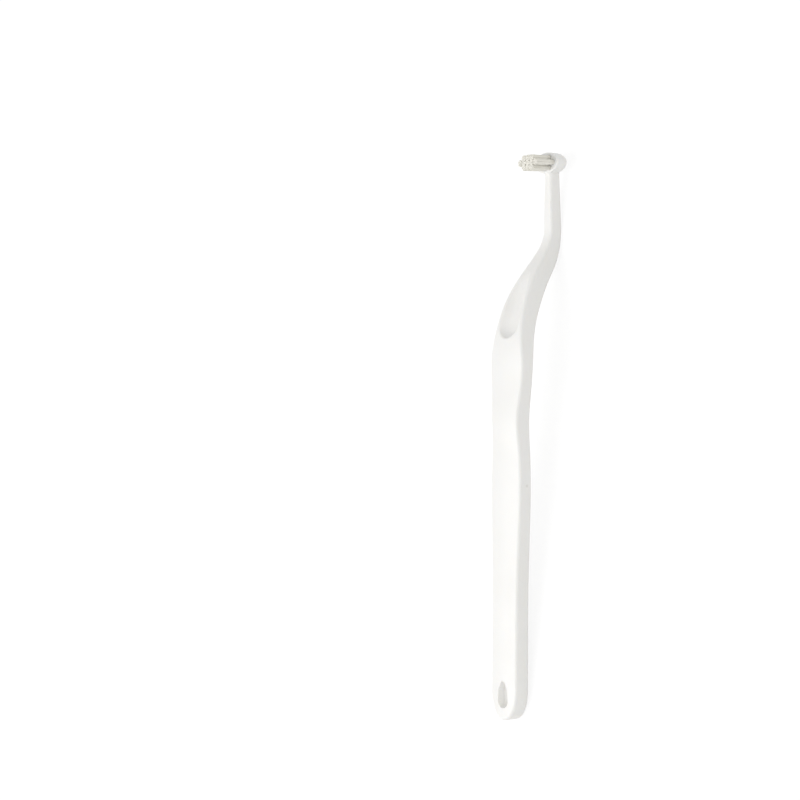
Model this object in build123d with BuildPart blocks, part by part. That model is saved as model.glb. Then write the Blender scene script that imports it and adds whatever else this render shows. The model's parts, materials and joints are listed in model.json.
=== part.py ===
"""Pet toothbrush: a one-piece moulded handle, neck and cross-wise head, with eleven stapled tufts.

The brush lies on its back with the bristles up, and touches the table with the knee of its neck
and the end of its tail. Stations run from the tip of the head towards the tail. Heights run from
the back of the neck towards the bristles. Everything is in millimetres and degrees.
"""
import os
from math import asin, atan2, cos, degrees, hypot, radians, sin, tan

from build123d import *

# Overall
overall_length = 165.2
edge_radius = 0.8

# Head: an oval disc set across the handle, with a flat bristle face and a rounded back
head_side_wall = 1.075
head_end_wall = 0.835
head_back_height = 0.5
face_height = 5.0
head_back_radius = 1.6
head_rim_radius = 0.35

# Tufts: two short rows and a longer middle row, each tuft folded round a staple in a blind hole
middle_row_count = 5
outer_row_count = 3
hole_wall = 0.4
row_wall = 0.22
tuft_diameter = 1.25
tuft_clearance = 0.04
tuft_free_length = 7.0
tuft_tip_radius = 0.2
hole_depth = 2.9

# Staples: flat blades whose ends bite into the wall of each hole
staple_bite = 0.1
staple_thickness = 0.3
staple_height = 1.3
staple_fold_height = 0.4
staple_turn = 90.0

# Neck
neck_root_half_width = 1.4
neck_root_height = 0.75
neck_front_height = 4.45
neck_end_station = 23.6
neck_end_half_width = 1.9

# Back of the S-bend: knee, straight slope and shoulder
knee_station = 28.6
knee_radius = 20.7
slope_angle = 35.4
shoulder_radius = 49.0
grip_back_height = 15.2

# Front of the S-bend and of the grip
front_bend_start = 22.4
front_bend_end = 61.6
front_pull_in = 9.5
front_pull_out = 24.0
grip_thickness = 4.95
tail_thickness = 5.3
swell_thickness = 5.6
swell_start = 68.0
swell_end = 87.0
swell_radius = 50.0
crown_radius = 36.0

# Plan outline of the bend and the grip
throat_station = 33.0
throat_half_width = 3.0
bend_station = 42.0
bend_half_width = 4.75
chest_station = 51.5
chest_half_width = 5.95
shoulder_station = 61.3
shoulder_half_width = 7.35
waist_station = 77.3
waist_half_width = 5.95
palm_station = 89.0
palm_half_width = 6.5
middle_station = 115.0
middle_half_width = 6.2
tail_half_width = 5.75
tail_round_length = 8.8

# Thumb scoop: a dish turned about an axis above the bend, pointed towards the head and blunt towards
# the tail. Each point of its floor is a share of the way along the bend's front line, and its depth
# is taken straight down from there.
scoop_point_along = 0.279
scoop_point_rise = 0.1
scoop_ramp_along = 0.408
scoop_ramp_depth = 0.6
scoop_middle_along = 0.555
scoop_middle_depth = 2.05
scoop_deep_along = 0.68
scoop_deep_depth = 2.45
scoop_lip_along = 0.776
scoop_lip_depth = 2.2
scoop_end_along = 0.837
scoop_end_rise = 0.6
scoop_axis_start_lift = 6.0
scoop_axis_end_lift = 3.3
scoop_rim_radius = 0.6

# Dimple near the end of the tail: a blind steep-walled teardrop with its point towards the head
dimple_point_station = 154.9
dimple_point_radius = 1.1
dimple_middle_station = 157.1
dimple_middle_radius = 2.1
dimple_round_station = 159.3
dimple_round_radius = 2.25
dimple_depth = 2.45
dimple_wall_angle = 5.0
dimple_floor_radius = 0.8
dimple_rim_radius = 0.2

# Ends closer to the middle plane than this count as lying on it
touching_gap = 0.01

# Blocks that only have to be larger than the brush
spare_width = 9.5
spare_height = 30.0
spare_front_height = 26.0
spare_section_depth = 20.0

# Sizes that follow
hole_diameter = tuft_diameter + 2 * tuft_clearance
tuft_pitch = hole_diameter + hole_wall
row_pitch = hole_diameter + row_wall
staple_width = hole_diameter + 2 * staple_bite
head_width = (middle_row_count - 1) * tuft_pitch + hole_diameter + 2 * head_side_wall
head_length = 2 * row_pitch + hole_diameter + 2 * head_end_wall
head_middle = head_length / 2
hole_floor_height = face_height - hole_depth
staple_base_height = hole_floor_height + staple_fold_height
grip_front_height = grip_back_height + grip_thickness
tail_front_height = grip_back_height + tail_thickness
swell_front_height = grip_back_height + swell_thickness
tail_start_station = overall_length - tail_round_length

# Resting attitude: the knee arc and the rounded tail end both touch the table
neck_fall = atan2(neck_root_height, knee_station - head_middle)
slope_turn = radians(slope_angle)
knee_tangent = knee_radius * tan((neck_fall + slope_turn) / 2)
knee_centre_station = knee_station - knee_tangent * cos(neck_fall) + knee_radius * sin(neck_fall)
knee_centre_height = knee_tangent * sin(neck_fall) + knee_radius * cos(neck_fall)
tail_centre_station = overall_length - edge_radius
tail_centre_height = grip_back_height + edge_radius
contact_span = tail_centre_station - knee_centre_station
contact_rise = knee_centre_height - tail_centre_height
rest_tilt = asin((knee_radius - edge_radius) / hypot(contact_span, contact_rise))
rest_tilt -= atan2(contact_rise, contact_span)

# Origin: under the middle of the brush, on the table
head_reach = head_back_radius * (1 - cos(rest_tilt))
head_reach -= (head_back_height + head_back_radius) * sin(rest_tilt)
tail_reach = -tail_centre_station * cos(rest_tilt) - edge_radius
tail_reach -= (tail_front_height - edge_radius) * sin(rest_tilt)
tip_x = -(head_reach + tail_reach) / 2
tip_z = knee_radius + knee_centre_station * sin(rest_tilt) - knee_centre_height * cos(rest_tilt)

tip = Vector(tip_x, 0, tip_z)
towards_tail = Vector(-cos(rest_tilt), 0, -sin(rest_tilt))
towards_side = Vector(0, -1, 0)
towards_bristles = Vector(-sin(rest_tilt), 0, cos(rest_tilt))

side_view = Plane(origin=tip, x_dir=towards_tail, z_dir=towards_side * -1)
plan_view = Plane(origin=tip, x_dir=towards_tail, z_dir=towards_bristles)
height_axis = Axis(tip, towards_bristles)

slope_end_station = knee_station + grip_back_height / tan(slope_turn)


def is_rim(edge):
    """True for the long outline edges that get rounded, and not for joints across the middle."""
    middle = plan_view.to_local_coords(edge @ 0.5)
    return abs(middle.Y) > head_rim_radius


def rims_dimple(edge):
    """Whether an edge of the dimple lies nearer to the grip's front than to the dimple's floor."""
    return plan_view.to_local_coords(edge.center()).Z > tail_front_height - dimple_depth / 3


def spans_middle(edge):
    """True for a curve from the middle plane back to it, such as the scoop's rim or half of it."""
    end_gap = max(abs((edge @ 0).Y), abs((edge @ 1).Y))
    return end_gap < touching_gap and edge.bounding_box().size.Y > edge_radius


# Tuft positions, row by row
tuft_points = []
for row_number in (-1, 0, 1):
    count = middle_row_count if row_number == 0 else outer_row_count
    for tuft_number in range(count):
        across = (tuft_number - (count - 1) / 2) * tuft_pitch
        tuft_points.append((head_middle + row_number * row_pitch, across))

# Handle
with BuildPart() as handle:
    # Side profile of the back, left tall so that the crowned front can trim it
    with BuildSketch(side_view):
        with BuildLine():
            FilletPolyline(
                (head_middle, neck_root_height),
                (knee_station, 0),
                (slope_end_station, grip_back_height),
                (overall_length, grip_back_height),
                radius=[knee_radius, shoulder_radius],
            )
            Polyline(
                (overall_length, grip_back_height),
                (overall_length, spare_front_height),
                (head_middle, spare_front_height),
                (head_middle, neck_root_height),
            )
        make_face()
    extrude(amount=spare_width, both=True)

    # Plan outline
    with BuildSketch(plan_view):
        with BuildLine():
            Polyline(
                (head_middle, 0),
                (head_middle, neck_root_half_width),
                (neck_end_station, neck_end_half_width),
            )
            Spline(
                (neck_end_station, neck_end_half_width),
                (throat_station, throat_half_width),
                (bend_station, bend_half_width),
                (chest_station, chest_half_width),
                (shoulder_station, shoulder_half_width),
                (waist_station, waist_half_width),
                (palm_station, palm_half_width),
                (middle_station, middle_half_width),
                (tail_start_station, tail_half_width),
                tangents=[
                    (neck_end_station - head_middle, neck_end_half_width - neck_root_half_width),
                    (1, 0),
                ],
            )
            EllipticalCenterArc(
                (tail_start_station, 0), tail_round_length, tail_half_width, arc_size=90
            )
            mirror(about=Plane.XZ)
        make_face()
    extrude(amount=spare_height, both=True, mode=Mode.INTERSECT)

    # Crowned front, swept along the side view of the front
    with BuildLine(side_view) as front_line:
        Line((0, neck_front_height), (front_bend_start, neck_front_height))
        bend_line = Bezier(
            (front_bend_start, neck_front_height),
            (front_bend_start + front_pull_in, neck_front_height),
            (front_bend_end - front_pull_out, grip_front_height),
            (front_bend_end, grip_front_height),
        )
        FilletPolyline(
            (front_bend_end, grip_front_height),
            (swell_start, grip_front_height),
            (waist_station, swell_front_height),
            (swell_end, grip_front_height),
            (overall_length + edge_radius, tail_front_height),
            radius=swell_radius,
        )
    front_path = front_line.wires()[0]
    crown_drop = crown_radius - (crown_radius**2 - spare_width**2) ** 0.5
    with BuildSketch(Plane(origin=front_path @ 0, x_dir=towards_side, z_dir=front_path % 0)):
        with BuildLine():
            ThreePointArc(
                (-spare_width, -crown_drop),
                (0, 0),
                (spare_width, -crown_drop),
            )
            Polyline(
                (spare_width, -crown_drop),
                (spare_width, -spare_section_depth),
                (-spare_width, -spare_section_depth),
                (-spare_width, -crown_drop),
            )
        make_face()
    sweep(path=front_path, mode=Mode.INTERSECT)
    fillet(handle.edges().filter_by(height_axis, reverse=True).filter_by(is_rim), edge_radius)

    # Thumb scoop
    scoop_floor = []
    for along, depth in (
        (scoop_point_along, -scoop_point_rise),
        (scoop_ramp_along, scoop_ramp_depth),
        (scoop_middle_along, scoop_middle_depth),
        (scoop_deep_along, scoop_deep_depth),
        (scoop_lip_along, scoop_lip_depth),
        (scoop_end_along, -scoop_end_rise),
    ):
        scoop_floor.append(side_view.to_local_coords(bend_line @ along) - Vector(0, depth))
    scoop_axis_start = scoop_floor[0] + Vector(0, scoop_axis_start_lift)
    scoop_axis_end = scoop_floor[-1] + Vector(0, scoop_axis_end_lift)
    with BuildSketch(side_view):
        with BuildLine():
            Spline(*scoop_floor)
            Polyline(scoop_floor[-1], scoop_axis_end, scoop_axis_start, scoop_floor[0])
        make_face()
    scoop_axis_foot = side_view.from_local_coords(scoop_axis_start)
    scoop_axis_tip = side_view.from_local_coords(scoop_axis_end)
    revolve(axis=Axis(scoop_axis_foot, scoop_axis_tip - scoop_axis_foot), mode=Mode.SUBTRACT)
    fillet(handle.edges(Select.LAST).filter_by(spans_middle), scoop_rim_radius)

    # Tail dimple
    with BuildPart(mode=Mode.PRIVATE) as dimple:
        with BuildSketch(plan_view.offset(tail_front_height)):
            with Locations((dimple_point_station, 0)):
                Circle(dimple_point_radius)
            with Locations((dimple_middle_station, 0)):
                Circle(dimple_middle_radius)
            with Locations((dimple_round_station, 0)):
                Circle(dimple_round_radius)
            make_hull()
        extrude(amount=-dimple_depth, taper=dimple_wall_angle)
        fillet(dimple.edges().group_by(height_axis)[0], dimple_floor_radius)
    add(dimple.part, mode=Mode.SUBTRACT)
    fillet(handle.edges(Select.LAST).filter_by(rims_dimple), dimple_rim_radius)

    # Head, holes and staple bites
    with BuildPart(mode=Mode.PRIVATE) as head:
        with BuildSketch(plan_view.offset(head_back_height)):
            with Locations((head_middle, 0)):
                Ellipse(head_middle, head_width / 2)
        extrude(amount=face_height - head_back_height)
        fillet(head.edges().group_by(height_axis)[0], head_back_radius)
        fillet(head.edges().group_by(height_axis)[-1], head_rim_radius)
    add(head.part)
    with BuildSketch(plan_view.offset(hole_floor_height)):
        with Locations(*tuft_points):
            Circle(hole_diameter / 2)
    extrude(amount=hole_depth, mode=Mode.SUBTRACT)
    with BuildSketch(plan_view.offset(staple_base_height)):
        with Locations(*tuft_points):
            Rectangle(staple_width, staple_thickness, rotation=staple_turn)
    extrude(amount=staple_height, mode=Mode.SUBTRACT)

os.makedirs("parts", exist_ok=True)
handle.part.label = "handle"
export_step(handle.part, "parts/handle.step")

# Tufts and their staples
for number, point in enumerate(tuft_points, start=1):
    with BuildPart() as tuft:
        with BuildSketch(plan_view.offset(hole_floor_height)):
            with Locations(point):
                Circle(tuft_diameter / 2)
        extrude(amount=hole_depth + tuft_free_length)
        fillet(tuft.edges().group_by(height_axis)[-1], tuft_tip_radius)
        with BuildSketch(plan_view.offset(staple_base_height)):
            with Locations(point):
                Rectangle(staple_width, staple_thickness, rotation=staple_turn)
        extrude(amount=staple_height, mode=Mode.SUBTRACT)
    tuft.part.label = f"tuft_{number:02d}"
    export_step(tuft.part, f"parts/tuft_{number:02d}.step")

    with BuildPart() as staple:
        with BuildSketch(plan_view.offset(staple_base_height)):
            with Locations(point):
                Rectangle(staple_width, staple_thickness, rotation=staple_turn)
        extrude(amount=staple_height)
    staple.part.label = f"staple_{number:02d}"
    export_step(staple.part, f"parts/staple_{number:02d}.step")
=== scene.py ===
"""Looks for the pet toothbrush: moulded handle, folded tufts, staples and a pale table."""

import json
import math

import bpy
from bpy.props import FloatProperty, FloatVectorProperty, PointerProperty
from mathutils import Euler, Matrix, Vector


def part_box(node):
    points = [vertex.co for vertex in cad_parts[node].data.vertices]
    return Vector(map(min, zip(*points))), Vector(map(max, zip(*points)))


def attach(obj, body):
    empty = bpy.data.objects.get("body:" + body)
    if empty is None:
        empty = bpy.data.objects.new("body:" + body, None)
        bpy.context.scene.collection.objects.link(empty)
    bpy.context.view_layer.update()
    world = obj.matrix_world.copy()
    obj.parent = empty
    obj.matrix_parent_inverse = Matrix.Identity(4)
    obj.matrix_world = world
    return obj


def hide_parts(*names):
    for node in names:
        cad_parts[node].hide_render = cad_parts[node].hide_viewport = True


bl_info = {
    "name": "Pet Toothbrush",
    "version": (1, 0, 0),
    "blender": (4, 5, 0),
    "location": "View3D > Sidebar > Brush",
    "description": "Dresses the packed toothbrush and sets its table, lamps and camera",
    "category": "Object",
}

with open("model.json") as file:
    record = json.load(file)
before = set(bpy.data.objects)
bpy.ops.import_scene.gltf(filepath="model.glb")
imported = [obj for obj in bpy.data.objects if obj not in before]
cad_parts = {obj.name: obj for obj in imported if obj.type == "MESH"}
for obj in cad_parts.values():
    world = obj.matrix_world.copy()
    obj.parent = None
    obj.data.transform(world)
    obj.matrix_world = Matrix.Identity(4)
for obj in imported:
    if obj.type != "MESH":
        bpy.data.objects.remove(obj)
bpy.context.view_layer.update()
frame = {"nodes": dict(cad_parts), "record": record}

TUFT_NODES = sorted(name for name in frame["nodes"] if name.startswith("tuft_"))
STAPLE_NODES = sorted(name for name in frame["nodes"] if name.startswith("staple_"))
REST = next(mount for mount in frame["record"]["mounts"] if mount["name"] == "rest")
BRISTLES_UP = -Vector(REST["axis"]).normalized()
TILT = math.atan2(-BRISTLES_UP.x, BRISTLES_UP.z)


def tuft_size(name):
    """Diameter and length of a CAD tuft, read from the box round the tilted cylinder."""
    low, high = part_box(name)
    diameter = high.y - low.y
    length = (high.z - low.z - diameter * math.sin(TILT)) / math.cos(TILT)
    return diameter, length


TUFT_DIAMETER, TUFT_LENGTH = tuft_size(TUFT_NODES[0])


class Value:
    """A node's output that takes part in Python arithmetic by adding Math nodes."""

    def __init__(self, nodes, socket):
        self.nodes = nodes
        self.socket = socket

    def math(self, operation, *others):
        """What a Math node makes of this value and the others."""
        values = dict(enumerate((self, *others)))
        return self.nodes.add("ShaderNodeMath", values, operation=operation)

    def __add__(self, other):
        return self.math("ADD", other)

    def __sub__(self, other):
        return self.math("SUBTRACT", other)

    def __rsub__(self, other):
        values = {0: other, 1: self}
        return self.nodes.add("ShaderNodeMath", values, operation="SUBTRACT")

    def __mul__(self, other):
        return self.math("MULTIPLY", other)

    def __truediv__(self, other):
        return self.math("DIVIDE", other)

    def __pow__(self, other):
        return self.math("POWER", other)

    def __lt__(self, other):
        return self.math("LESS_THAN", other)

    def __gt__(self, other):
        return self.math("GREATER_THAN", other)

    def __abs__(self):
        return self.math("ABSOLUTE")

    __radd__ = __add__
    __rmul__ = __mul__

    def clamped(self):
        """This value kept between 0 and 1."""
        return self.math("MAXIMUM", 0.0).math("MINIMUM", 1.0)


class Nodes:
    """Adds nodes to a tree and joins them up."""

    def __init__(self, tree):
        self.tree = tree

    def add(self, kind, values=None, output=0, **settings):
        """A node of this kind with its settings made first, then its sockets set or linked."""
        node = self.tree.nodes.new(kind)
        for name, setting in settings.items():
            setattr(node, name, setting)
        for name, value in (values or {}).items():
            self.join(node.inputs[name], value)
        return Value(self, node.outputs[output]) if len(node.outputs) else node

    def join(self, socket, value):
        """Links a value to a socket, or sets the socket to a constant."""
        if isinstance(value, Value):
            self.tree.links.new(value.socket, socket)
        else:
            socket.default_value = value

    def other(self, value, output):
        """Another output of the node that a value comes from."""
        return Value(self, value.socket.node.outputs[output])

    def blend(self, amount, first, second):
        """A colour that goes from the first to the second."""
        return self.add(
            "ShaderNodeMix", {0: amount, 6: first, 7: second}, output=2, data_type="RGBA"
        )


def start_material(name):
    """An empty material with its tree's helper."""
    material = bpy.data.materials.new(name)
    material.use_nodes = True
    material.node_tree.nodes.clear()
    return material, Nodes(material.node_tree)


def finish_material(nodes, values):
    """Ends a material in one Principled shader."""
    shader = nodes.add("ShaderNodeBsdfPrincipled", values)
    nodes.add("ShaderNodeOutputMaterial", {"Surface": shader})


def dress(node_name, material):
    """Gives a CAD node its material."""
    mesh = frame["nodes"][node_name].data
    mesh.materials.clear()
    mesh.materials.append(material)


class HandleSettings(bpy.types.PropertyGroup):
    """Colour and finish of the moulded handle"""

    plastic: FloatVectorProperty(
        name="Plastic", description="Colour of the moulded handle", subtype="COLOR",
        size=4, min=0, max=1, default=(0.91, 0.905, 0.885, 1),
    )
    aged: FloatVectorProperty(
        name="Aged plastic", description="Warmer colour in faint clouds over the handle",
        subtype="COLOR", size=4, min=0, max=1, default=(0.89, 0.88, 0.85, 1),
    )
    roughness: FloatProperty(
        name="Roughness", description="Roughness of the moulded skin", default=0.36,
        min=0, max=1, subtype="FACTOR",
    )
    gate_place: FloatVectorProperty(
        name="Gate mark", description="Middle of the trimmed moulding gate on the side",
        subtype="XYZ", unit="LENGTH", size=3, default=(-0.01467, -0.00673, 0.00896),
    )
    gate_radius: FloatProperty(
        name="Gate radius", description="Radius of the gate mark", default=0.0005,
        unit="LENGTH",
    )


class TuftSettings(bpy.types.PropertyGroup):
    """Sizes and colours of the filaments"""

    filament: FloatProperty(
        name="Filament", description="Diameter of one nylon filament", default=0.00015,
        unit="LENGTH", precision=5,
    )
    packing: FloatProperty(
        name="Packing", description="Distance between filaments in the hole, in radii",
        default=1.0, min=1,
    )
    crowded_height: FloatProperty(
        name="Crowded height",
        description="Height over the hole's floor up to which filaments are squeezed thin",
        default=0.004, unit="LENGTH", precision=4,
    )
    free_length: FloatProperty(
        name="Free length", description="Length that stands out of the head",
        default=0.007, unit="LENGTH", precision=4,
    )
    spread: FloatProperty(
        name="Spread", description="How far apart chance moves the tips",
        default=0.0003, unit="LENGTH", precision=5,
    )
    flare: FloatProperty(
        name="Flare", description="How much wider a tuft is at its tips, on each side",
        default=0.00034, unit="LENGTH", precision=5,
    )
    gather: FloatProperty(
        name="Gather", description="How far the outer rows lean over the middle one",
        default=0.00027, unit="LENGTH", precision=5,
    )
    lean: FloatProperty(
        name="Lean", description="How far all the tufts lean towards the handle",
        default=0.0003, unit="LENGTH", precision=5,
    )
    trim: FloatProperty(
        name="Trim", description="Difference in length between the tips",
        default=0.00008, unit="LENGTH", precision=5,
    )
    nylon: FloatVectorProperty(
        name="Nylon", description="Colour of the filaments", subtype="COLOR", size=4,
        min=0, max=1, default=(0.99, 0.98, 0.94, 1),
    )
    # Painted shade: the filaments are coloured darker and warmer near the head, where the
    # tufts shade one another.
    root_painted_shade: FloatVectorProperty(
        name="Root", description="Colour of the filaments near the head",
        subtype="COLOR", size=4, min=0, max=1, default=(0.95, 0.93, 0.86, 1),
    )


class StapleSettings(bpy.types.PropertyGroup):
    """Colour of the staples, and the sizes that the filaments fold round"""

    brass: FloatVectorProperty(
        name="Brass", description="Colour of the staple wire", subtype="COLOR", size=4,
        min=0, max=1, default=(0.78, 0.60, 0.30, 1),
    )
    blade_height: FloatProperty(
        name="Blade height", description="Height of a staple's blade", default=0.0013,
        unit="LENGTH", precision=4,
    )
    fold_height: FloatProperty(
        name="Fold height", description="Room for the fold under the blade",
        default=0.0004, unit="LENGTH", precision=4,
    )
    blade_thickness: FloatProperty(
        name="Blade thickness", description="Thickness of a staple's blade",
        default=0.0003, unit="LENGTH", precision=4,
    )
    blade_turn: FloatProperty(
        name="Blade turn", description="Angle of the blades to the head", subtype="ANGLE",
        default=math.radians(90),
    )


class StageSettings(bpy.types.PropertyGroup):
    """Camera, table, lamps and room"""

    camera_place: FloatVectorProperty(
        name="Camera", description="Where the camera stands", subtype="XYZ",
        unit="LENGTH", size=3, default=(-0.00777, -0.39547, 0.32434),
    )
    camera_turn: FloatVectorProperty(
        name="Camera turn", description="How the camera is turned", subtype="EULER",
        size=3, default=[math.radians(angle) for angle in (8.897, 54.89, -81.187)],
    )
    lens: FloatProperty(
        name="Lens", description="Focal length for the film width, in millimetres",
        default=78.2, min=1,
    )
    film_width: FloatProperty(
        name="Film width", description="Width of the camera's frame, in millimetres",
        default=36, min=1,
    )
    table: FloatVectorProperty(
        name="Table", description="Colour that the table throws back on the brush",
        subtype="COLOR", size=4, min=0, max=1, default=(0.8, 0.8, 0.79, 1),
    )
    seen_table: FloatVectorProperty(
        name="Seen table", description="Colour of the table as seen or mirrored",
        subtype="COLOR", size=4, min=0, max=1, default=(0.23, 0.23, 0.23, 1),
    )
    table_lift: FloatProperty(
        name="Table lift", description="Brightness added to the table as seen or mirrored",
        default=0.83,
    )
    table_radius: FloatProperty(
        name="Table radius", description="Radius of the table top", default=3.0,
        unit="LENGTH",
    )
    key: FloatProperty(
        name="Key lamp", description="Power of the large lamp on the far side",
        default=6.4, unit="POWER",
    )
    key_size: FloatProperty(
        name="Key size", description="Width of the large lamp", default=1.0,
        unit="LENGTH",
    )
    key_place: FloatVectorProperty(
        name="Key place", description="Where the large lamp hangs", subtype="XYZ",
        unit="LENGTH", size=3, default=(-0.35, 0.4, 0.95),
    )
    fill: FloatProperty(
        name="Fill lamp", description="Power of the lamp on the camera's side",
        default=1.2, unit="POWER",
    )
    fill_size: FloatProperty(
        name="Fill size", description="Width of the lamp on the camera's side",
        default=0.6, unit="LENGTH",
    )
    fill_place: FloatVectorProperty(
        name="Fill place", description="Where the lamp on the camera's side hangs",
        subtype="XYZ", unit="LENGTH", size=3, default=(-0.05, -0.7, 0.35),
    )
    surroundings: FloatProperty(
        name="Surroundings", description="Brightness of the room", default=0.55,
    )


def plastic_material(settings):
    """White moulded plastic with a fine satin skin, faint flow lines and a trimmed gate."""
    worn_from, worn_to = 0.42, 0.68
    worn_tint, worn_roughness = 0.55, 0.07
    skin_height, skin_roughness = 0.05, 0.06
    flow_height = 0.4
    gate_edge, gate_height = 0.5, 3.0
    gate_tint, gate_colour = 0.35, (0.55, 0.53, 0.48, 1)

    material, nodes = start_material("moulded_plastic")
    place = nodes.add("ShaderNodeTexCoord", output="Object")
    clouds = nodes.add(
        "ShaderNodeTexNoise", {"Vector": place, "Scale": 60.0, "Detail": 3.0}
    )
    along = nodes.add(
        "ShaderNodeMapping", {"Vector": place, "Scale": (40.0, 420.0, 420.0)}
    )
    flow = nodes.add("ShaderNodeTexNoise", {"Vector": along, "Scale": 1.0, "Detail": 2.0})
    skin = nodes.add(
        "ShaderNodeTexNoise", {"Vector": place, "Scale": 5200.0, "Detail": 2.0}
    )
    from_gate = nodes.add(
        "ShaderNodeVectorMath", {0: place, 1: settings.gate_place}, output="Value",
        operation="DISTANCE",
    )
    gate = (1 - from_gate / settings.gate_radius).clamped() ** gate_edge
    worn = nodes.add(
        "ShaderNodeMapRange", {0: clouds, 1: worn_from, 2: worn_to, 3: 0.0, 4: 1.0}
    )
    colour = nodes.blend(worn * worn_tint, settings.plastic, settings.aged)
    colour = nodes.blend(gate * gate_tint, colour, gate_colour)
    roughness = worn * worn_roughness + skin * skin_roughness
    height = skin * skin_height + flow * flow_height + gate * gate_height
    bump = nodes.add(
        "ShaderNodeBump", {"Strength": 0.12, "Distance": 0.0001, "Height": height}
    )
    finish_material(nodes, {
        "Base Color": colour,
        "Roughness": (roughness + (settings.roughness - skin_roughness)).clamped(),
        "Normal": bump,
        "IOR": 1.48,
        "Subsurface Weight": 0.12,
        "Subsurface Radius": (1.0, 0.9, 0.75),
        "Subsurface Scale": 0.0012,
    })
    return material


def nylon_material(settings):
    """Cream nylon with painted shade: darker and warmer towards the head where the tufts
    crowd, with a slight change from filament to filament.
    """
    root_share = 0.25
    rise_power = 0.6
    streak_from, streak_tint = 0.35, 0.5
    streak_colour = (0.94, 0.92, 0.85, 1)
    least_roughness, streak_roughness = 0.28, 0.2

    material, nodes = start_material("nylon_filaments")
    place = nodes.add("ShaderNodeTexCoord", output="Object")
    upright = nodes.add(
        "ShaderNodeMapping", {"Vector": place, "Rotation": (0.0, TILT, 0.0)}
    )
    height = nodes.add("ShaderNodeSeparateXYZ", {0: upright}, output="Z")
    lowest_foot = min(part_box(name)[0].z for name in TUFT_NODES)
    from_root = height - (lowest_foot + TUFT_LENGTH * root_share)
    rise = (from_root / settings.free_length).clamped()
    across = nodes.add(
        "ShaderNodeMapping", {"Vector": upright, "Scale": (5500.0, 5500.0, 60.0)}
    )
    streak = nodes.add("ShaderNodeTexNoise", {"Vector": across, "Scale": 1.0})
    dull = (streak - streak_from).clamped() * streak_tint
    # Painted shade near the head, fading to the plain nylon colour towards the tips.
    colour = nodes.blend(rise ** rise_power, settings.root_painted_shade, settings.nylon)
    finish_material(nodes, {
        "Base Color": nodes.blend(dull, colour, streak_colour),
        "Roughness": (streak * streak_roughness + least_roughness).clamped(),
        "IOR": 1.53,
    })
    return material


def brass_material(settings):
    """Drawn flat brass wire with lengthwise draw marks."""
    mark_tint, mark_colour = 0.4, (0.6, 0.43, 0.2, 1)
    least_roughness, mark_roughness = 0.25, 0.2

    material, nodes = start_material("staple_brass")
    place = nodes.add("ShaderNodeTexCoord", output="Object")
    drawn = nodes.add(
        "ShaderNodeMapping", {"Vector": place, "Scale": (1200.0, 1200.0, 24000.0)}
    )
    marks = nodes.add("ShaderNodeTexNoise", {"Vector": drawn, "Scale": 1.0, "Detail": 3.0})
    bump = nodes.add(
        "ShaderNodeBump", {"Strength": 0.2, "Distance": 0.00002, "Height": marks}
    )
    finish_material(nodes, {
        "Base Color": nodes.blend(marks * mark_tint, settings.brass, mark_colour),
        "Metallic": 1.0,
        "Roughness": marks * mark_roughness + least_roughness,
        "Normal": bump,
    })
    return material


TUFT_SIZES = (
    "Tuft Radius", "Filament Radius", "Blade Half Thickness", "Fold Height",
    "Blade Height", "Leg Length", "Free Length", "Crowded Height", "Spread", "Flare",
    "Trim", "Packing",
)


def add_input(tree, kind, name):
    """A named input on a Geometry Nodes tree."""
    tree.interface.new_socket(name=name, in_out="INPUT", socket_type=kind)


def filament_roots(nodes, size, widest, seed):
    """A point for one leg of each filament, packed closely on one side of the blade."""
    rows, columns = 9, 19
    close_rows = 0.866
    jitter_share = 0.16
    step = size["Filament Radius"] * size["Packing"]
    row_step = step * close_rows
    grid = nodes.add("GeometryNodeMeshGrid", {
        "Size X": row_step * (rows - 1), "Size Y": step * (columns - 1),
        "Vertices X": rows, "Vertices Y": columns,
    })

    # Every second row stands half a step further along the blade
    row = (nodes.add("GeometryNodeInputIndex") / columns).math("FLOOR")
    odd = row.math("MODULO", 2.0)
    aside = nodes.add("ShaderNodeCombineXYZ", {
        "X": row_step * rows / 2, "Y": (odd - 0.5) * step / 2,
    })
    chance = nodes.add("FunctionNodeRandomValue", {
        "Min": (-1.0, -1.0, 0.0), "Max": (1.0, 1.0, 0.0), "Seed": seed,
    }, data_type="FLOAT_VECTOR")
    jitter = nodes.add("ShaderNodeVectorMath", {
        0: chance, "Scale": size["Filament Radius"] * jitter_share,
    }, operation="SCALE")
    shift = nodes.add("ShaderNodeVectorMath", {0: aside, 1: jitter}, operation="ADD")
    packed = nodes.add("GeometryNodeSetPosition", {"Geometry": grid, "Offset": shift})

    # Only the points inside the hole stay
    place = nodes.add("GeometryNodeInputPosition")
    reach = nodes.add(
        "ShaderNodeVectorMath", {0: place}, output="Value", operation="LENGTH"
    )
    in_hole = nodes.add("GeometryNodeDeleteGeometry", {
        "Geometry": packed, "Selection": reach > widest,
    }, domain="POINT")
    return nodes.add("GeometryNodeMeshToPoints", {"Mesh": in_hole})


def upright_lines(nodes, roots):
    """An upright line from 0 to 1 on each root."""
    line_points = 21
    line = nodes.add("GeometryNodeCurvePrimitiveLine", {"End": (0.0, 0.0, 1.0)})
    line = nodes.add("GeometryNodeResampleCurve", {"Curve": line, "Count": line_points})
    lines = nodes.add("GeometryNodeInstanceOnPoints", {"Points": roots, "Instance": line})
    return nodes.add("GeometryNodeRealizeInstances", {"Geometry": lines})


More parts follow.
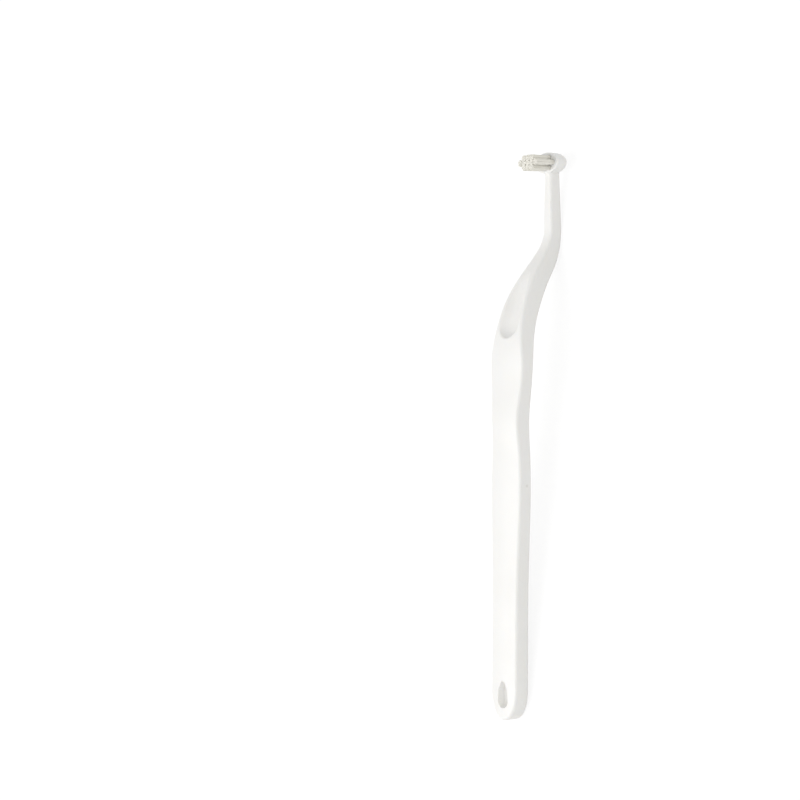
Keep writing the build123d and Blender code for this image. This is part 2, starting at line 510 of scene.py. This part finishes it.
def fold_lines(nodes, lines, size, widest, lean, seed):
    """Folds the lines under the blade, stands both legs up beside it and flares the tips.

    A line's height is read as the way along the filament: one tip at 0, the fold in the middle
    and the other tip at 1, on the far side of the blade.
    """
    fold_share = 0.2
    tip_crowding = 1.5
    chance_scale = 1e5
    bend_power = 0.4
    place = nodes.add("GeometryNodeInputPosition")
    parted = nodes.add("ShaderNodeSeparateXYZ", {0: place}, output="X")
    side_way = nodes.other(parted, "Y")
    along = nodes.other(parted, "Z") * 2 - 1
    side = along.math("SIGN")
    half = abs(along)
    fold_angle = (half / fold_share).clamped() * (math.pi / 2)
    up_leg = ((half - fold_share) / (1 - fold_share)).clamped()
    up_leg = 1 - (1 - up_leg) ** tip_crowding
    chance = nodes.add("ShaderNodeTexWhiteNoise", {
        "Vector": nodes.add("ShaderNodeCombineXYZ", {
            "X": parted * side * chance_scale, "Y": side_way * chance_scale, "Z": seed,
        }),
    })
    chance_along = nodes.add(
        "ShaderNodeSeparateXYZ", {0: nodes.other(chance, "Color")}, output="X"
    )
    chance_across = nodes.other(chance_along, "Y")

    # The blade takes the middle of the hole, and the outer filaments fold lowest under it
    gap = size["Blade Half Thickness"] + size["Filament Radius"]
    beside = parted * (1 - gap / widest) + gap
    fold_drop = fold_angle.math("COSINE") * (size["Fold Height"] - size["Filament Radius"])
    leg = size["Leg Length"] - chance * size["Trim"]
    outward = beside / size["Tuft Radius"]
    height = size["Fold Height"] - fold_drop * outward + up_leg * leg

    # Above the blade the legs close in until they fill the hole
    risen = up_leg * size["Leg Length"]
    hidden = size["Leg Length"] - size["Free Length"]
    above_blade = (risen - size["Blade Height"]) / (hidden - size["Blade Height"])
    above_blade = above_blade.clamped()
    chord = (widest * widest - parted * parted).math("SQRT")
    short_chord = (widest * widest - beside * beside).math("MAXIMUM", 0.0).math("SQRT")
    squeeze = 1 - (1 - above_blade) * (1 - short_chord / chord)
    leg_place = beside + (parted - beside) * above_blade
    across = leg_place * fold_angle.math("SINE") * side
    straight = nodes.add(
        "ShaderNodeCombineXYZ", {"X": across, "Y": side_way * squeeze, "Z": height}
    )

    # Out of the head the tufts flare, stray by chance and lean
    out = ((risen - hidden) / size["Free Length"]).clamped()
    flare_across = across / size["Tuft Radius"] * size["Flare"]
    flare_along = side_way / size["Tuft Radius"] * size["Flare"]
    stray = nodes.add("ShaderNodeCombineXYZ", {
        "X": (chance_along - 0.5) * size["Spread"] + flare_across,
        "Y": (chance_across - 0.5) * size["Spread"] + flare_along,
    })
    leant = nodes.add("ShaderNodeVectorMath", {0: stray, 1: lean}, operation="ADD")
    bent = nodes.add(
        "ShaderNodeVectorMath", {0: leant, "Scale": out ** bend_power}, operation="SCALE"
    )
    placed = nodes.add("ShaderNodeVectorMath", {0: straight, 1: bent}, operation="ADD")
    return nodes.add("GeometryNodeSetPosition", {"Geometry": lines, "Position": placed})


def thicken_lines(nodes, curves, size):
    """Gives the folded lines their thickness, with less of it where they crowd in the hole."""
    filament_sides = 6
    crowded_thinning = 0.5
    place = nodes.add("GeometryNodeInputPosition")
    height = nodes.add("ShaderNodeSeparateXYZ", {0: place}, output="Z")
    thickness = 1 - (height < size["Crowded Height"]) * crowded_thinning
    ring = nodes.add("GeometryNodeCurvePrimitiveCircle", {
        "Resolution": filament_sides, "Radius": size["Filament Radius"],
    })
    return nodes.add("GeometryNodeCurveToMesh", {
        "Curve": curves, "Profile Curve": ring, "Scale": thickness, "Fill Caps": True,
    })


def tuft_tree():
    """Geometry Nodes tree that makes one folded tuft, standing on the origin."""
    tree = bpy.data.node_groups.new("folded_tuft", "GeometryNodeTree")
    add_input(tree, "NodeSocketGeometry", "Geometry")
    for name in TUFT_SIZES:
        add_input(tree, "NodeSocketFloat", name)
    add_input(tree, "NodeSocketVector", "Lean")
    add_input(tree, "NodeSocketInt", "Seed")
    add_input(tree, "NodeSocketMaterial", "Material")
    tree.interface.new_socket(
        name="Geometry", in_out="OUTPUT", socket_type="NodeSocketGeometry"
    )
    nodes = Nodes(tree)
    given = nodes.add("NodeGroupInput", output="Geometry")
    size = {name: nodes.other(given, name) for name in TUFT_SIZES}
    lean = nodes.other(given, "Lean")
    seed = nodes.other(given, "Seed")
    material = nodes.other(given, "Material")

    widest = size["Tuft Radius"] - size["Filament Radius"]
    lines = upright_lines(nodes, filament_roots(nodes, size, widest, seed))
    folded = fold_lines(nodes, lines, size, widest, lean, seed)
    mesh = thicken_lines(nodes, folded, size)
    smooth = nodes.add("GeometryNodeSetShadeSmooth", {"Geometry": mesh})
    whole = nodes.add("GeometryNodeRealizeInstances", {"Geometry": smooth})
    coloured = nodes.add(
        "GeometryNodeSetMaterial", {"Geometry": whole, "Material": material}
    )
    nodes.add("NodeGroupOutput", {"Geometry": coloured})
    return tree


def grow_mesh(name, tree, values):
    """The plain mesh that a Geometry Nodes tree makes from these named values."""
    seedling = bpy.data.objects.new(name + "_grown", bpy.data.meshes.new(name + "_grown"))
    bpy.context.collection.objects.link(seedling)
    modifier = seedling.modifiers.new("grow", "NODES")
    modifier.node_group = tree
    sockets = {item.name: item.identifier for item in tree.interface.items_tree
               if item.in_out == "INPUT"}
    for key, value in values.items():
        modifier[sockets[key]] = value
    bpy.context.view_layer.update()
    grown = seedling.evaluated_get(bpy.context.evaluated_depsgraph_get())
    mesh = bpy.data.meshes.new_from_object(grown)
    mesh.name = name
    bpy.data.objects.remove(seedling)
    return mesh


def tuft_middle(name):
    """Middle of a CAD tuft."""
    low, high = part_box(name)
    return (low + high) / 2


def row_side(name):
    """0 for a tuft in the middle row, and -1 or 1 for one in the row on that side of it."""
    head_middle = sum((tuft_middle(tuft) for tuft in TUFT_NODES), Vector()) / len(TUFT_NODES)
    off_middle = tuft_middle(name).x - head_middle.x
    return math.copysign(1, off_middle) if abs(off_middle) > TUFT_DIAMETER / 2 else 0


def grow_tuft(number, name, tree, material, tufts, staples):
    """One tuft of folded filaments in the place of a CAD tuft."""
    turn_back = Matrix.Rotation(-staples.blade_turn, 3, "Z")
    mesh = grow_mesh(name + "_filaments", tree, {
        "Tuft Radius": TUFT_DIAMETER / 2,
        "Filament Radius": tufts.filament / 2,
        "Blade Half Thickness": staples.blade_thickness / 2,
        "Fold Height": staples.fold_height,
        "Blade Height": staples.blade_height,
        "Leg Length": TUFT_LENGTH - staples.fold_height,
        "Free Length": tufts.free_length,
        "Crowded Height": tufts.crowded_height,
        "Spread": tufts.spread,
        "Flare": tufts.flare,
        "Packing": tufts.packing,
        "Trim": tufts.trim,
        "Lean": turn_back @ Vector((-row_side(name) * tufts.gather - tufts.lean, 0, 0)),
        "Seed": number,
        "Material": material,
    })
    foot = tuft_middle(name) - BRISTLES_UP * TUFT_LENGTH / 2
    stand = Matrix.Translation(foot) @ Matrix.Rotation(-TILT, 4, "Y")
    mesh.transform(stand @ Matrix.Rotation(staples.blade_turn, 4, "Z"))
    return bpy.data.objects.new(name + "_filaments", mesh)


class BRUSH_OT_handle(bpy.types.Operator):
    """Gives the moulded handle its white plastic"""

    bl_idname = "brush.handle"
    bl_label = "Finish handle"

    def execute(self, context):
        dress("handle", plastic_material(context.scene.brush_handle))
        return {"FINISHED"}


class BRUSH_OT_tufts(bpy.types.Operator):
    """Puts folded nylon filaments in the place of each soft CAD tuft"""

    bl_idname = "brush.tufts"
    bl_label = "Plant tufts"

    def execute(self, context):
        tufts = context.scene.brush_tufts
        staples = context.scene.brush_staples
        material = nylon_material(tufts)
        tree = tuft_tree()
        for number, name in enumerate(TUFT_NODES, start=1):
            piece = grow_tuft(number, name, tree, material, tufts, staples)
            context.collection.objects.link(piece)
            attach(piece, "root")
            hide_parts(name)
        return {"FINISHED"}


class BRUSH_OT_staples(bpy.types.Operator):
    """Gives the staples their drawn brass"""

    bl_idname = "brush.staples"
    bl_label = "Finish staples"

    def execute(self, context):
        material = brass_material(context.scene.brush_staples)
        for name in STAPLE_NODES:
            dress(name, material)
        return {"FINISHED"}


def seen_or_mirrored(nodes):
    """1 for what the camera sees or a surface mirrors, and 0 for all other light."""
    seen = nodes.add("ShaderNodeLightPath", output="Is Camera Ray")
    return seen.math("MAXIMUM", nodes.other(seen, "Is Glossy Ray"))


def table_material(stage):
    """A pale table that looks brighter than the light that it throws back."""
    material, nodes = start_material("pale_table")
    bright = seen_or_mirrored(nodes)
    top = nodes.add("ShaderNodeBsdfDiffuse", {
        "Color": nodes.blend(bright, stage.table, stage.seen_table),
    })
    glow = nodes.add("ShaderNodeEmission", {"Strength": bright * stage.table_lift})
    nodes.add("ShaderNodeOutputMaterial", {
        "Surface": nodes.add("ShaderNodeAddShader", {0: top, 1: glow}),
    })
    return material


def light_room(stage):
    """A white room that is dimmer as a lamp than as it looks."""
    world = bpy.data.worlds.new("room")
    world.use_nodes = True
    world.node_tree.nodes.clear()
    nodes = Nodes(world.node_tree)
    bright = seen_or_mirrored(nodes)
    walls = nodes.add("ShaderNodeBackground", {
        "Color": (1, 1, 1, 1), "Strength": bright + (1 - bright) * stage.surroundings,
    })
    nodes.add("ShaderNodeOutputWorld", {"Surface": walls})
    return world


def hang_lamp(name, power, size, place):
    """A square soft lamp that faces the middle of the table."""
    lamp = bpy.data.lights.new(name, "AREA")
    lamp.energy = power
    lamp.size = size
    lamp_object = bpy.data.objects.new(name, lamp)
    lamp_object.location = place
    facing = (-Vector(place)).to_track_quat("-Z", "Y")
    lamp_object.rotation_euler = facing.to_euler()
    bpy.context.collection.objects.link(lamp_object)


def set_camera(stage):
    """The camera in its place, linked to the scene."""
    camera = bpy.data.cameras.new("camera")
    camera.lens = stage.lens
    camera.sensor_width = stage.film_width
    camera.clip_start = 0.01
    camera_object = bpy.data.objects.new("camera", camera)
    camera_object.location = stage.camera_place
    camera_object.rotation_euler = Euler(stage.camera_turn)
    bpy.context.collection.objects.link(camera_object)
    return camera_object


class BRUSH_OT_stage(bpy.types.Operator):
    """Sets the pale table, the soft lamps, the room and the camera"""

    bl_idname = "brush.stage"
    bl_label = "Set stage"

    def execute(self, context):
        stage = context.scene.brush_stage
        bpy.ops.mesh.primitive_circle_add(
            vertices=96, radius=stage.table_radius, fill_type="NGON"
        )
        table = context.object
        table.name = "table"
        table.data.materials.append(table_material(stage))
        context.scene.world = light_room(stage)
        hang_lamp("key", stage.key, stage.key_size, stage.key_place)
        hang_lamp("fill", stage.fill, stage.fill_size, stage.fill_place)
        context.scene.camera = set_camera(stage)
        context.scene.view_settings.view_transform = "Standard"
        return {"FINISHED"}


class BRUSH_PT_panel(bpy.types.Panel):
    """Lists the settings and the operators in the order in which they are run"""

    bl_label = "Pet toothbrush"
    bl_idname = "BRUSH_PT_panel"
    bl_space_type = "VIEW_3D"
    bl_region_type = "UI"
    bl_category = "Brush"

    def draw(self, context):
        for settings_name, operator in STEPS:
            box = self.layout.box()
            settings = getattr(context.scene, settings_name)
            for key in settings.__annotations__:
                box.prop(settings, key)
            box.operator(operator.bl_idname)


STEPS = (
    ("brush_handle", BRUSH_OT_handle),
    ("brush_staples", BRUSH_OT_staples),
    ("brush_tufts", BRUSH_OT_tufts),
    ("brush_stage", BRUSH_OT_stage),
)
SETTINGS = {
    "brush_handle": HandleSettings,
    "brush_staples": StapleSettings,
    "brush_tufts": TuftSettings,
    "brush_stage": StageSettings,
}


def register():
    for settings_name, group in SETTINGS.items():
        bpy.utils.register_class(group)
        setattr(bpy.types.Scene, settings_name, PointerProperty(type=group))
    for _, operator in STEPS:
        bpy.utils.register_class(operator)
    bpy.utils.register_class(BRUSH_PT_panel)


def unregister():
    bpy.utils.unregister_class(BRUSH_PT_panel)
    for _, operator in reversed(STEPS):
        bpy.utils.unregister_class(operator)
    for settings_name, group in SETTINGS.items():
        delattr(bpy.types.Scene, settings_name)
        bpy.utils.unregister_class(group)


def main():
    register()
    bpy.ops.brush.handle()
    bpy.ops.brush.staples()
    bpy.ops.brush.tufts()
    bpy.ops.brush.stage()


if __name__ == "__main__":
    main()
